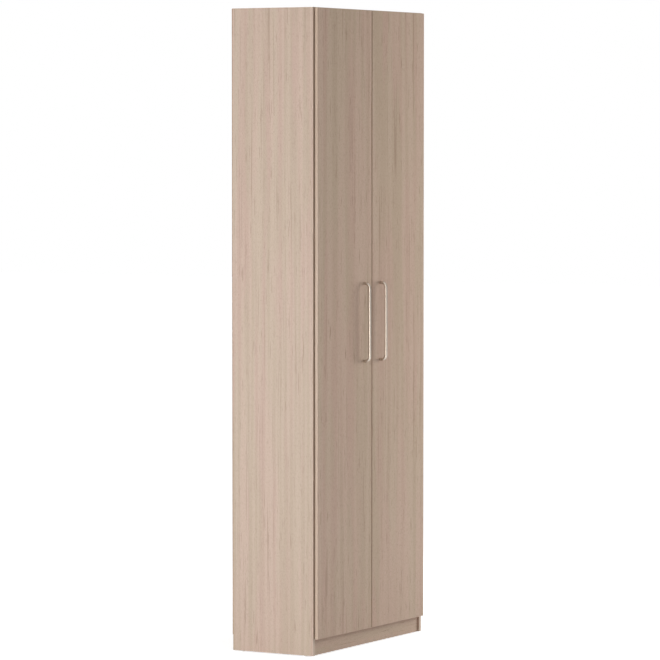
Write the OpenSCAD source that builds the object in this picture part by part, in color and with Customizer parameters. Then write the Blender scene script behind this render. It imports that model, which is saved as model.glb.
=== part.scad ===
// Two-door hall wardrobe in ash-look melamine board, free standing, with round bow handles.
// Sizes are millimetres. X runs across the front, Y from the front to the back and Z up.
// The origin is on the floor, at the middle of the whole piece seen from above, handles included.
// Everything is drawn with both doors shut. Left and right are as seen from the front.

/* [Overall] */
// Width over the two side panels
total_w = 800; // [640:1:1000]
// Height from the floor to the top of the side panels
total_h = 2300; // [2000:1:2400]
// Depth of the carcass from its front edges to the strip that joins the back sheets
carcass_d = 335.5; // [320:0.5:600]

/* [Boards] */
// Thickness of the carcass boards
panel_t = 16; // [15:0.5:19]
// Thickness of the edging strip on each edge that shows
edging_t = 1; // [0.6:0.1:1.5]
// Radius on the outer corners of the edging strips
edging_r = 0.8; // [0.3:0.1:0.9]
// Thickness of the back sheets
back_t = 3; // [3:0.5:5]
// How far the back sheets stay inside the outer faces of the side panels
back_inset = 1; // [0.5:0.5:3]

/* [Base] */
// Height of the plastic glides under the side panels
glide_t = 3; // [2:0.5:6]
// Diameter of a glide
glide_d = 14; // [12:0.5:15]
// Distance of the glides from the front and rear edges of the side panels
glide_inset = 35; // [20:1:60]
// Height from the floor to the underside of the bottom panel
plinth_h = 60; // [50:1:120]
// How far the front plinth board lies behind the front edges
plinth_recess = 6; // [4:1:40]
// How far the rear plinth board lies in front of the rear edges
plinth_rear_recess = 40; // [20:1:80]

/* [Shelves] */
// Height from the floor to the underside of the fixed hat shelf
hat_shelf_z = 1934; // [1850:1:1960]
// How far the hat shelf lies behind the front edges
hat_shelf_setback = 3; // [2:1:30]
// Height from the floor to the underside of the loose shoe shelf
shoe_shelf_z = 330; // [280:1:420]
// How far the shoe shelf lies behind the front edges
shoe_shelf_setback = 20; // [15:1:40]
// Play between each end of the shoe shelf and the side panel
shelf_play = 2; // [1.8:0.1:3]
// Diameter of the shelf pins
pin_d = 5; // [4:0.5:6]
// Length of a shelf pin inside the side panel
pin_in = 9; // [7:0.5:11]
// Length of a shelf pin under the shelf
pin_out = 9; // [8:0.5:12]
// Number of pin holes one above the other
pin_rows = 5; // [3:2:7]

/* [Fixings] */
// Spacing of the rows of holes in the side panels
hole_pitch = 32; // [32:1:35]
// Distance of the rows of holes from the front and rear edges
hole_inset = 37; // [34:0.5:40]
// Diameter of the cam locks
cam_d = 15; // [14:0.5:16]
// Height of a cam lock
cam_h = 12.4; // [11.5:0.1:13]
// Distance of a cam lock from the end of its panel
cam_inset = 34; // [30:1:38]
// Distance of the cam locks from the front and rear edges
cam_edge = 50; // [44:1:60]
// Length of the cam bolt's thread inside the side panel
bolt_thread = 11; // [9:0.5:12]
// Spacing of the two dowels at each end of a plinth board
plinth_dowel_pitch = 24; // [20:1:30]
// Diameter of the wooden dowels
dowel_d = 8; // [6:0.5:9]
// Length of a dowel
dowel_len = 30; // [26:1:35]
// Length of a dowel inside the side panel
dowel_in = 10; // [8:0.5:12]
// Clearance round dowels, bolts, screws and pins
fit = 0.05; // [0.02:0.01:0.1]

/* [Doors] */
// Thickness of the door boards
door_t = 12; // [12:0.5:14]
// Gap between the backs of the doors and the front edges of the carcass
door_gap = 2.5; // [2.3:0.1:4]
// Width of the gap between the two doors
door_split = 5; // [2.5:0.5:6]
// Width of side panel left bare beside a door
door_reveal = 9; // [8.5:0.5:10]
// Height left bare above and below the doors
door_reveal_z = 2; // [1:0.5:4]
// Radius on the outer back edge of a door, which swings past the side panel
door_swing_r = 3; // [3:0.1:3.5]
// How much shorter the rubber bumpers are than the gap behind the doors
bumper_play = 0.3; // [0.2:0.1:0.4]
// Diameter of the rubber bumpers
bumper_d = 8; // [6:0.5:9]
// Distance of the bumpers from the free edge of a door
bumper_inset = 30; // [15:1:60]

/* [Hinges] */
// Number of hinges on each door
hinge_count = 4; // [3:1:5]
// Distance of the outermost hinges from the top and bottom of a door
hinge_end = 100; // [80:1:120]
// Distance of the hinge pin from the outer edge of a door
pin_inset = 7.5; // [7.3:0.1:7.7]
// Distance of the hinge pin below the back face of a door
pin_depth = 7; // [6.8:0.1:7.1]
// Diameter of the hinge pin
hinge_pin_d = 2.2; // [1.8:0.1:2.4]
// Running clearance round the hinge pin
pin_play = 0.05; // [0.03:0.01:0.08]
// Wall of the hinge arm's eye round the pin
eye_wall = 0.95; // [0.8:0.05:1]
// Diameter of the hinge cup
cup_d = 35; // [34:0.5:36]
// Depth of the hinge cup
cup_depth = 10.3; // [10.2:0.1:10.6]
// Wall of the hinge cup
cup_wall = 0.8; // [0.6:0.1:0.9]
// Distance from the outer edge of a door to the rim of the cup
cup_edge = 3; // [2.8:0.1:3.2]
// Spacing of the two screws beside the cup
cup_screw_pitch = 45; // [44:1:48]
// Thickness of the hinge arm
arm_t = 2; // [1.5:0.1:2.1]
// Width of the hinge arm where it enters the cup
arm_nose_w = 8; // [6:0.5:8]
// Distance from the hinge pin to the middle of the arm's straight run
arm_run = 12; // [11.5:0.1:13]
// Length of the hinge arm behind the front edge of the carcass
arm_len = 52; // [50:1:60]

/* [Handles] */
// Distance between the two legs of a handle
handle_cc = 280; // [160:1:320]
// Diameter of the handle rod
handle_d = 10; // [8:0.5:14]
// Distance from the door to the middle of the grip
handle_reach = 25; // [25:0.5:45]
// Radius of the handle's corners at the middle of the rod
handle_bend_r = 19; // [8:0.5:22]
// Distance from the free edge of a door to the middle of the handle
handle_inset = 57.5; // [40:0.5:90]
// Height from the floor to the middle of the handles
handle_z = 1175; // [1000:1:1250]

/* [Hanging rail] */
// Diameter of the hanging rail
rail_d = 25; // [20:0.5:30]
// Wall of the hanging rail
rail_wall = 1.2; // [1:0.1:2]
// Distance from the hat shelf down to the middle of the rail
rail_drop = 50; // [40:1:70]
// Distance of the rail's ends from the front and rear edges
rail_end = 30; // [20:1:60]
// Width of a rail bracket along the rail
rail_bracket_w = 14; // [12:1:20]

/* [Wall brackets] */
// Distance between the two wall brackets
wall_spacing = 560; // [400:1:600]
// Length of each leg of a wall bracket
wall_leg = 40; // [35:1:50]
// Width of a wall bracket
wall_bracket_w = 25; // [20:1:30]
// Thickness of a wall bracket
wall_bracket_t = 2; // [1.5:0.1:3]
// Diameter of the hole for the wall screw
wall_hole_d = 6.5; // [5:0.5:8]

/* [Hidden] */

$fn = 48;

// Colours of the real materials
ash = "#ab9687";
ash_edge = "#c2b0a2";
hardboard = "#d9d3c8";
satin_steel = "#cfcbc6";
nickel = "#b9bbbd";
zinc = "#9da0a3";
beech = "#d8b98e";
white_plastic = "#ecebe7";
soft_rubber = "#d5d5d2";

// A cut runs this far past the face it starts from
past = 1;

// Inside width between the side panels
inner_w = total_w - 2 * panel_t;
// Lip of the strip that joins the back sheets
joiner_lip = 1;
// Distance from the door faces to the front of the handles
handle_out = handle_reach + handle_d / 2;
// Depth of the whole piece
total_d = carcass_d + door_gap + door_t + handle_out;
// Places along Y, from the back to the front
y_rear = total_d / 2;
y_sheet = y_rear - joiner_lip;
y_boards = y_sheet - back_t;
y_front = y_rear - carcass_d;
y_door_back = y_front - door_gap;
y_door_face = y_door_back - door_t;

// Heights of the undersides of the panels that join the sides
top_z = total_h - panel_t;
panel_zs = [plinth_h, hat_shelf_z, top_z];
// Places of the cam locks and dowels along Y
cam_ys = [y_front + cam_edge, y_boards - cam_edge];
dowel_ys = [cam_ys[0] + hole_pitch, cam_ys[1] - hole_pitch];
// Heights of the two dowels at each end of a plinth board
plinth_mid = (glide_t + plinth_h) / 2;
plinth_dowel_zs = [plinth_mid - plinth_dowel_pitch / 2, plinth_mid + plinth_dowel_pitch / 2];
// Places of the plinth boards along Y, at their front faces
plinth_ys = [y_front + plinth_recess, y_boards - plinth_rear_recess - panel_t];

// Cam bolt radii from the thread to the head
bolt_r = [2.5, 3.4, 2, 3.2];
bolt_head = 3;
bolt_neck = 8;
bolt_hole_r = 4;
cam_play = 0.2;

// Shelf pin collar
collar_d = pin_d + 2;
collar_t = 1.2;
pin_ys = [y_front + hole_inset, y_boards - hole_inset];
pin_z = shoe_shelf_z - pin_d / 2;

// Doors
door_w = (total_w - 2 * door_reveal - door_split) / 2;
door_z0 = plinth_h + door_reveal_z;
door_z1 = total_h - door_reveal_z;
door_x0 = -total_w / 2 + door_reveal;
door_x1 = door_x0 + door_w;
bumper_zs = [plinth_h + panel_t / 2, total_h - panel_t / 2];

// Hinges: the pin's place, and the places of the other pieces seen from the pin
hinge_x = door_x0 + pin_inset;
hinge_y = y_door_back - pin_depth;
hinge_step = (door_z1 - door_z0 - 2 * hinge_end) / (hinge_count - 1);
hinge_zs = [for (i = [0:hinge_count - 1]) door_z0 + hinge_end + i * hinge_step];
cup_x = cup_edge + cup_d / 2 - pin_inset;
eye_r = hinge_pin_d / 2 + pin_play + eye_wall;
front_dy = y_front - hinge_y;
side_dx = -inner_w / 2 - hinge_x;
arm_end = front_dy + arm_len;
arm_bend_r = 3;
arm_wide = 14.6;
arm_flange = 1.2;
arm_flange_h = 7;
arm_nose_out = 3;
arm_taper_out = 10;
plate_t = 2;
plate_rail_w = 11.8;
plate_rail_len = 38;
plate_wing_r = 7;
plate_screw_dy = front_dy + hole_inset;
// The arm's two screws: the front one sets it sideways, the rear one clamps it on the plate
adjust_screw_in = 5;
adjust_screw_dy = arm_end - plate_rail_len + adjust_screw_in;
arm_screw_dys = [adjust_screw_dy, plate_screw_dy];
flange_t = 1;
flange_r = 19;
flange_ear_r = 4.75;
cup_screw_past = 9.5;
cup_screw_dx = cup_x + cup_screw_past;
cup_screw_r = 1.7;
// The pin's ends seat in the wall of the cup and stop short of its outside
pin_half = sqrt(pow(cup_d / 2, 2) - pow(cup_x + hinge_pin_d / 2, 2)) - fit;

// Screws: radius of the shank, radius and height of the head, then the lengths in use
euro_r = 2.5;
euro_head = [4.5, 2.2];
euro_len = 11;
machine_r = 2;
machine_head = [3.8, 2];
machine_play = 0.25;
// The machine screws stop this far before the ends of their threads in the rail and the handle
machine_short = 1;
arm_screw_len = 8;
wood_r = 1.75;
wood_head = [3.6, 2];
bracket_screw_len = 14;
rail_screw_len = 15;
cup_screw_head = [3.4, 1.3];
cup_screw_len = 9;

// Glide nail
glide_nail_r = 1;
glide_nail_len = 12;

// Strip of H section that joins the back sheets
back_split_z = total_h / 2;
joiner_web = 1;
joiner_half = 12;
joiner_play = 1;

// Handles
handle_x = door_x1 - handle_inset;
handle_bore = 10;

// Hanging rail
rail_z = hat_shelf_z - rail_drop;
rail_y0 = y_front + rail_end;
rail_y1 = y_boards - rail_end;
rail_foot_w = 56;
rail_foot_t = 2.5;
rail_foot_screw = 20;
rail_ring_wall = 2.5;
rail_stem_w = 12;
rail_bracket_ys = [rail_y0 + rail_bracket_w, rail_y1 - 2 * rail_bracket_w];

// Wall brackets
wall_hole_drop = 25;

// A box between two corners
module block(low, high) {
    translate(low) cube(high - low);
}

// A straight rod that starts at a point and runs towards +X, +Y or +Z
module rod_x(at, r, len) {
    translate(at) rotate([0, 90, 0]) cylinder(r = r, h = len);
}

module rod_y(at, r, len) {
    translate(at) rotate([-90, 0, 0]) cylinder(r = r, h = len);
}

module rod_z(at, r, len) {
    translate(at) cylinder(r = r, h = len);
}

// The same thing at the left and at the right
module both_sides() {
    children();
    mirror([1, 0, 0]) children();
}

// A hole drilled from the inner face of the left side panel
module side_hole(y, z, r, depth) {
    rod_x([-inner_w / 2 - depth, y, z], r, depth + past);
}

// A screw with a flat round head, its shank towards +Z and its head below the origin
module screw(r, len, head) {
    translate([0, 0, -head[1]]) cylinder(r = head[0], h = head[1]);
    cylinder(r = r, h = len);
}

// Edging of a board, with its two outer corners rounded, drawn flat with the outer face down
module edging_profile(w) {
    square_h = edging_t - edging_r;
    translate([0, edging_r]) square([w, square_h]);
    translate([edging_r, 0]) square([w - 2 * edging_r, edging_t]);
    intersection() {
        square([w, edging_t]);
        union() {
            translate([edging_r, edging_r]) circle(r = edging_r);
            translate([w - edging_r, edging_r]) circle(r = edging_r);
        }
    }
}

// A panel that stands on the floor and carries everything, drawn on the left
module side_panel() {
    difference() {
        block([-total_w / 2, y_front + edging_t, glide_t],
            [-inner_w / 2, y_boards, total_h - edging_t]);
        for (z = panel_zs) {
            for (y = cam_ys) side_hole(y, z + panel_t / 2, bolt_r[0] + fit, bolt_thread + fit);
            for (y = dowel_ys) side_hole(y, z + panel_t / 2, dowel_d / 2 + fit, dowel_in + fit);
        }
        for (y = plinth_ys, z = plinth_dowel_zs) {
            side_hole(y + panel_t / 2, z, dowel_d / 2 + fit, dowel_in + fit);
        }
        for (y = pin_ys, i = [0:pin_rows - 1]) {
            side_hole(y, pin_z + (i - (pin_rows - 1) / 2) * hole_pitch, pin_d / 2 + fit, pin_in + fit);
        }
        for (z = hinge_zs, s = [-1, 1]) {
            side_hole(y_front + hole_inset, z + s * hole_pitch / 2, euro_r + fit, euro_len + fit);
        }
        for (y = [y_front + glide_inset, y_boards - glide_inset]) {
            rod_z([-total_w / 2 + panel_t / 2, y, glide_t - past], glide_nail_r + fit,
                glide_nail_len + past + fit);
        }
    }
}

// A panel between the sides, held at each end by two cam locks and two dowels
module joined_panel(z, setback) {
    difference() {
        block([-inner_w / 2, y_front + setback + edging_t, z], [inner_w / 2, y_boards, z + panel_t]);
        both_sides() {
            for (y = cam_ys) {
                rod_z([-inner_w / 2 + cam_inset, y, z - past], cam_d / 2 + fit, cam_h + past + fit);
                rod_x([-inner_w / 2 - past, y, z + panel_t / 2], bolt_hole_r, cam_inset + past);
            }
            for (y = dowel_ys) {
                rod_x([-inner_w / 2 - past, y, z + panel_t / 2], dowel_d / 2 + fit,
                    dowel_len - dowel_in + past + fit);
            }
        }
    }
}

module side_left() {
    color(ash) side_panel();
}

module side_right() {
    color(ash) mirror([1, 0, 0]) side_panel();
}

module top_panel() {
    color(ash) difference() {
        joined_panel(top_z, 0);
        for (x = [-1, 1]) {
            rod_z([x * wall_spacing / 2, y_boards - wall_hole_drop, top_z - past],
                wood_r + fit, bracket_screw_len - wall_bracket_t + past + fit);
        }
    }
}

module bottom_panel() {
    color(ash) joined_panel(plinth_h, 0);
}

module hat_shelf() {
    color(ash) difference() {
        joined_panel(hat_shelf_z, hat_shelf_setback);
        for (y = rail_bracket_ys, s = [-1, 1]) {
            rod_z([s * rail_foot_screw, y + rail_bracket_w / 2, hat_shelf_z - past],
                wood_r + fit, rail_screw_len - rail_foot_t + past + fit);
        }
    }
}

module shoe_shelf() {
    half = inner_w / 2 - shelf_play;
    color(ash) block([-half, y_front + shoe_shelf_setback + edging_t, shoe_shelf_z],
        [half, y_boards - shelf_play / 2, shoe_shelf_z + panel_t]);
}

// A plinth board, held at each end by two dowels
module plinth_board(y) {
    difference() {
        block([-inner_w / 2, y, glide_t], [inner_w / 2, y + panel_t, plinth_h]);
        both_sides() for (z = plinth_dowel_zs) {
            rod_x([-inner_w / 2 - past, y + panel_t / 2, z], dowel_d / 2 + fit,
                dowel_len - dowel_in + past + fit);
        }
    }
}

module plinth_front() {
    color(ash) plinth_board(plinth_ys[0]);
}

module plinth_rear() {
    color(ash) plinth_board(plinth_ys[1]);
}

// Edging along the front of a level board, which reaches as far to the left as to the right
module front_edging(y, z, half_len) {
    translate([half_len, y, z]) rotate([0, -90, 0]) linear_extrude(2 * half_len)
        edging_profile(panel_t);
}

module carcass_edging() {
    color(ash_edge) {
        both_sides() {
            translate([-total_w / 2, y_front, glide_t]) linear_extrude(total_h - glide_t)
                edging_profile(panel_t);
            block([-total_w / 2, y_front + edging_t, total_h - edging_t],
                [-inner_w / 2, y_boards, total_h]);
        }
        front_edging(y_front, plinth_h, inner_w / 2);
        front_edging(y_front, top_z, inner_w / 2);
        front_edging(y_front + hat_shelf_setback, hat_shelf_z, inner_w / 2);
        front_edging(y_front + shoe_shelf_setback, shoe_shelf_z, inner_w / 2 - shelf_play);
    }
}

// One back sheet, nailed over the rear edges
module back_sheet(z0, z1) {
    block([-total_w / 2 + back_inset, y_boards, z0], [total_w / 2 - back_inset, y_sheet, z1]);
}

module back_upper() {
    color(hardboard) difference() {
        back_sheet(back_split_z + joiner_web / 2, total_h - back_inset);
        for (x = [-1, 1]) {
            rod_y([x * wall_spacing / 2, y_boards - past, top_z - wall_hole_drop], wall_hole_d / 2,
                back_t + 2 * past);
        }
    }
}

module back_lower() {
    color(hardboard) back_sheet(plinth_h, back_split_z - joiner_web / 2);
}

// The strip of H section between the two back sheets
module back_joiner() {
    half = inner_w / 2 - joiner_play;
    color(white_plastic) {
        block([-half, y_boards - joiner_lip, back_split_z - joiner_half],
            [half, y_boards, back_split_z + joiner_half]);
        block([-half, y_boards, back_split_z - joiner_web / 2],
            [half, y_sheet, back_split_z + joiner_web / 2]);
        block([-half, y_sheet, back_split_z - joiner_half],
            [half, y_rear, back_split_z + joiner_half]);
    }
}

// Cam lock, open towards the bolt on its left
module cam_lock() {
    slot_len = cam_d * 0.55;
    slot_w = 1.2;
    slot_deep = 1.5;
    difference() {
        cylinder(d = cam_d, h = cam_h);
        rod_x([-cam_d, 0, panel_t / 2], bolt_r[1] + cam_play, cam_d + bolt_r[3] + fit);
        for (turn = [0, 90]) {
            rotate([0, 0, turn]) translate([-slot_len / 2, -slot_w / 2, -past])
                cube([slot_len, slot_w, slot_deep + past]);
        }
    }
}

module cam_locks() {
    color(zinc) both_sides() for (z = panel_zs, y = cam_ys) {
        translate([-inner_w / 2 + cam_inset, y, z]) cam_lock();
    }
}

// Cam bolt: thread in the side panel, shank in the joined panel, neck and head in the cam lock
module cam_bolt() {
    neck_x = cam_inset + bolt_head / 2 - bolt_neck;
    rod_x([-bolt_thread, 0, 0], bolt_r[0], bolt_thread);
    rod_x([0, 0, 0], bolt_r[1], neck_x);
    rod_x([neck_x, 0, 0], bolt_r[2], bolt_neck - bolt_head);
    rod_x([cam_inset - bolt_head / 2, 0, 0], bolt_r[3], bolt_head);
}

module cam_bolts() {
    color(zinc) both_sides() for (z = panel_zs, y = cam_ys) {
        translate([-inner_w / 2, y, z + panel_t / 2]) cam_bolt();
    }
}

// A dowel with both ends chamfered, lying along X across the joint
module dowel() {
    chamfer = 1;
    r = dowel_d / 2;
    translate([-dowel_in, 0, 0]) rotate([0, 90, 0]) rotate_extrude() polygon([
        [0, 0], [r - chamfer, 0], [r, chamfer], [r, dowel_len - chamfer],
        [r - chamfer, dowel_len], [0, dowel_len]]);
}

module dowels() {
    color(beech) both_sides() {
        for (z = panel_zs, y = dowel_ys) translate([-inner_w / 2, y, z + panel_t / 2]) dowel();
        for (y = plinth_ys, z = plinth_dowel_zs) translate([-inner_w / 2, y + panel_t / 2, z]) dowel();
    }
}

module shelf_pins() {
    color(nickel) both_sides() for (y = pin_ys) {
        translate([-inner_w / 2, y, pin_z]) {
            rod_x([-pin_in, 0, 0], pin_d / 2, pin_in + pin_out);
            rod_x([0, 0, 0], collar_d / 2, collar_t);
        }
    }
}

// A glide with a bevelled foot and a nail
module glide() {
    bevel = 1;
    r = glide_d / 2;
    rotate_extrude() polygon([[0, 0], [r - bevel, 0], [r, bevel], [r, glide_t],
        [glide_nail_r, glide_t], [glide_nail_r, glide_t + glide_nail_len], [0, glide_t + glide_nail_len]]);
}

module glides() {
    color(white_plastic) both_sides() for (y = [y_front + glide_inset, y_boards - glide_inset]) {
        translate([-total_w / 2 + panel_t / 2, y, 0]) glide();
    }
}

module wall_brackets() {
    color(zinc) for (x = [-1, 1]) {
        translate([x * wall_spacing / 2, y_boards, top_z]) difference() {
            union() {
                block([-wall_bracket_w / 2, -wall_leg, -wall_bracket_t], [wall_bracket_w / 2, 0, 0]);
                block([-wall_bracket_w / 2, -wall_bracket_t, -wall_leg], [wall_bracket_w / 2, 0, 0]);
            }
            rod_y([0, -wall_bracket_t - past, -wall_hole_drop], wall_hole_d / 2,
                wall_bracket_t + 2 * past);
            rod_z([0, -wall_hole_drop, -wall_bracket_t - past], wood_r + fit, wall_bracket_t + 2 * past);
        }
    }
}

module bracket_screws() {
    color(zinc) for (x = [-1, 1]) {
        translate([x * wall_spacing / 2, y_boards - wall_hole_drop, top_z - wall_bracket_t])
            screw(wood_r, bracket_screw_len, wood_head);
    }
}

module hanging_rail() {
    color(satin_steel) difference() {
        rod_y([0, rail_y0, rail_z], rail_d / 2, rail_y1 - rail_y0);
        rod_y([0, rail_y0 - past, rail_z], rail_d / 2 - rail_wall, rail_y1 - rail_y0 + 2 * past);
    }
}

// A ring for the rail that hangs from a foot under the hat shelf
module rail_bracket() {
    ring_r = rail_d / 2 + fit + rail_ring_wall;
    rotate([90, 0, 0]) translate([0, 0, -rail_bracket_w]) linear_extrude(rail_bracket_w) {
        difference() {
            union() {
                circle(r = ring_r);
                translate([-rail_stem_w / 2, 0]) square([rail_stem_w, rail_drop - rail_foot_t]);
            }
            circle(r = rail_d / 2 + fit);
        }
    }
    difference() {
        block([-rail_foot_w / 2, 0, rail_drop - rail_foot_t], [rail_foot_w / 2, rail_bracket_w, rail_drop]);
        for (s = [-1, 1]) {
            rod_z([s * rail_foot_screw, rail_bracket_w / 2, rail_drop - rail_foot_t - past],
                wood_r + fit, rail_foot_t + 2 * past);
        }
    }
}

module rail_brackets() {
    color(nickel) for (y = rail_bracket_ys) translate([0, y, rail_z]) rail_bracket();
}

module rail_caps() {
    cap_t = 2;
    plug_len = 8;
    plug_r = rail_d / 2 - rail_wall - fit;
    color(white_plastic) {
        rod_y([0, rail_y0 - cap_t, rail_z], rail_d / 2, cap_t);
        rod_y([0, rail_y0, rail_z], plug_r, plug_len);
        rod_y([0, rail_y1 - plug_len, rail_z], plug_r, plug_len);
        rod_y([0, rail_y1, rail_z], rail_d / 2, cap_t);
    }
}

module rail_screws() {
    color(zinc) for (y = rail_bracket_ys, s = [-1, 1]) {
        translate([s * rail_foot_screw, y + rail_bracket_w / 2, hat_shelf_z - rail_foot_t])
            screw(wood_r, rail_screw_len, wood_head);
    }
}

// Puts the left hinge pieces at each hinge, with the origin on the pin
module at_hinges() {
    for (z = hinge_zs) translate([hinge_x, hinge_y, z]) children();
}

// Mounting plate: a foot screwed to the side panel and the rail that the arm sits on
module hinge_plate() {
    rail_top = arm_run - arm_t / 2;
    difference() {
        union() {
            block([side_dx, arm_end - plate_rail_len, -plate_rail_w / 2],
                [rail_top, arm_end, plate_rail_w / 2]);
            translate([side_dx, plate_screw_dy, 0]) rotate([0, 90, 0]) linear_extrude(plate_t) {
                square([hole_pitch, 2 * plate_wing_r], center = true);
                for (s = [-1, 1]) translate([s * hole_pitch / 2, 0]) circle(r = plate_wing_r);
            }
        }
        for (s = [-1, 1]) {
            rod_x([side_dx - past, plate_screw_dy, s * hole_pitch / 2], euro_r + fit, plate_t + 2 * past);
        }
        for (y = arm_screw_dys) {
            rod_x([rail_top - arm_screw_len, y, 0], machine_r + fit, arm_screw_len + past);
        }
    }
}

module hinge_plates() {
    color(nickel) both_sides() at_hinges() hinge_plate();
}

module plate_screws() {
    color(zinc) both_sides() at_hinges() for (s = [-1, 1]) {
        translate([side_dx + plate_t, plate_screw_dy, s * hole_pitch / 2]) rotate([0, -90, 0])
            screw(euro_r, plate_t + euro_len, euro_head);
    }
}

// Hinge arm: an eye on the pin, a goose neck inside the cup and a channel over the plate's rail.
// The neck leaves the pin towards the middle of the door, so the door can turn past a right angle.
// The channel has a hole for the adjusting screw and a slot that slides under the clamping screw.
module hinge_arm() {
    nose_end = front_dy + arm_nose_out;
    wide_from = front_dy + arm_taper_out;
    difference() {
        translate([0, 0, -arm_nose_w / 2]) linear_extrude(arm_nose_w) {
            circle(r = eye_r);
            translate([0, -arm_t / 2]) square([arm_run - arm_bend_r, arm_t]);
            translate([arm_run - arm_bend_r, arm_bend_r]) intersection() {
                difference() {
                    circle(r = arm_bend_r + arm_t / 2);
                    circle(r = arm_bend_r - arm_t / 2);
                }
                translate([0, -2 * arm_bend_r]) square(2 * arm_bend_r);
            }
            translate([arm_run - arm_t / 2, arm_bend_r]) square([arm_t, nose_end - arm_bend_r]);
        }
        rod_z([0, 0, -arm_nose_w], hinge_pin_d / 2 + pin_play, 2 * arm_nose_w);
    }
    difference() {
        union() {
            translate([arm_run - arm_t / 2, 0, 0]) rotate([90, 0, 90]) linear_extrude(arm_t) polygon([
                [nose_end, -arm_nose_w / 2], [wide_from, -arm_wide / 2], [arm_end, -arm_wide / 2],
                [arm_end, arm_wide / 2], [wide_from, arm_wide / 2], [nose_end, arm_nose_w / 2]]);
            for (s = [0, 1]) mirror([0, 0, s]) {
                block([arm_run - arm_t / 2 - arm_flange_h, wide_from, arm_wide / 2 - arm_flange],
                    [arm_run - arm_t / 2, arm_end, arm_wide / 2]);
            }
        }
        for (y = arm_screw_dys) rod_x([arm_run - arm_t, y, 0], machine_r + fit, 2 * arm_t);
        block([arm_run - arm_t, plate_screw_dy, -machine_r - fit],
            [arm_run + arm_t, arm_end + past, machine_r + fit]);
    }
}

module hinge_arms() {
    color(nickel) both_sides() at_hinges() hinge_arm();
}

module arm_screws() {
    color(zinc) both_sides() at_hinges() for (y = arm_screw_dys) {
        translate([arm_run + arm_t / 2, y, 0]) rotate([0, -90, 0])
            screw(machine_r, arm_t + arm_screw_len - machine_short, machine_head);
    }
}

// Plan of the left door, with the swing radius on its outer back edge
module door_plan(inset) {
    small = edging_r;
    difference() {
        translate([door_x0 + inset, y_door_face]) square([door_w - 2 * inset, door_t]);
        door_corner(door_x0, y_door_back, door_swing_r, 1, -1);
        door_corner(door_x0, y_door_face, small, 1, 1);
        door_corner(door_x1, y_door_back, small, -1, -1);
        door_corner(door_x1, y_door_face, small, -1, 1);
    }
}

// The waste outside a rounded corner, which points away from the door at (x, y)
module door_corner(x, y, r, sx, sy) {
    translate([x + sx * r, y + sy * r]) difference() {
        translate([sx > 0 ? -r - past : 0, sy > 0 ? -r - past : 0]) square(r + past);
        circle(r = r);
    }
}

// The left door without its edging
module door_board() {
    difference() {
        translate([0, 0, door_z0 + edging_t]) linear_extrude(door_z1 - door_z0 - 2 * edging_t)
            door_plan(edging_t);
        at_hinges() {
            rod_y([cup_x, pin_depth - cup_depth - fit, 0], cup_d / 2 + fit, cup_depth + past);
            for (s = [-1, 1]) {
                rod_y([cup_screw_dx, pin_depth - cup_screw_len - fit, s * cup_screw_pitch / 2],
                    cup_screw_r + fit, cup_screw_len + past);
            }
        }
        for (s = [-1, 1]) {
            rod_y([handle_x, y_door_face - past, handle_z + s * handle_cc / 2], machine_r + machine_play,
                door_t + 2 * past);
        }
    }
}

// The four strips round the left door
module door_edging() {
    difference() {
        translate([0, 0, door_z0]) linear_extrude(door_z1 - door_z0) door_plan(0);
        block([door_x0 + edging_t, y_door_face - past, door_z0 + edging_t],
            [door_x1 - edging_t, y_door_back + past, door_z1 - edging_t]);
    }
}

module door_left() {
    color(ash) door_board();
}

module door_right() {
    color(ash) mirror([1, 0, 0]) door_board();
}

module door_edging_left() {
    color(ash_edge) door_edging();
}

module door_edging_right() {
    color(ash_edge) mirror([1, 0, 0]) door_edging();
}

// Hinge cup with its flange, which is cut flat on the side of the door's edge
module hinge_cup() {
    rim_flat = cup_x - cup_d / 2;
    difference() {
        union() {
            rod_y([cup_x, pin_depth - cup_depth, 0], cup_d / 2, cup_depth);
            intersection() {
                translate([0, pin_depth + flange_t, 0]) rotate([90, 0, 0]) linear_extrude(flange_t) {
                    translate([cup_x, 0]) circle(r = flange_r);
                    translate([cup_screw_dx, 0]) {
                        square([2 * flange_ear_r, cup_screw_pitch], center = true);
                        for (s = [-1, 1]) translate([0, s * cup_screw_pitch / 2]) circle(r = flange_ear_r);
                    }
                }
                translate([rim_flat, 0, -cup_screw_pitch]) cube([2 * cup_d, cup_d, 2 * cup_screw_pitch]);
            }
        }
        rod_y([cup_x, pin_depth - cup_depth + cup_wall, 0], cup_d / 2 - cup_wall, cup_depth + flange_t);
        rod_z([0, 0, -cup_d], hinge_pin_d / 2 + fit / 2, 2 * cup_d);
        for (s = [-1, 1]) {
            rod_y([cup_screw_dx, pin_depth - past, s * cup_screw_pitch / 2], cup_screw_r + fit,
                flange_t + 2 * past);
        }
    }
}

module hinge_cups_left() {
    color(nickel) at_hinges() hinge_cup();
}

module hinge_cups_right() {
    color(nickel) mirror([1, 0, 0]) at_hinges() hinge_cup();
}

module hinge_pins_left() {
    color(zinc) at_hinges() rod_z([0, 0, -pin_half], hinge_pin_d / 2, 2 * pin_half);
}

module hinge_pins_right() {
    mirror([1, 0, 0]) hinge_pins_left();
}

module cup_screws_left() {
    color(zinc) at_hinges() for (s = [-1, 1]) {
        translate([cup_screw_dx, pin_depth + flange_t, s * cup_screw_pitch / 2]) rotate([90, 0, 0])
            screw(cup_screw_r, cup_screw_len + flange_t, cup_screw_head);
    }
}

module cup_screws_right() {
    mirror([1, 0, 0]) cup_screws_left();
}

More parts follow.
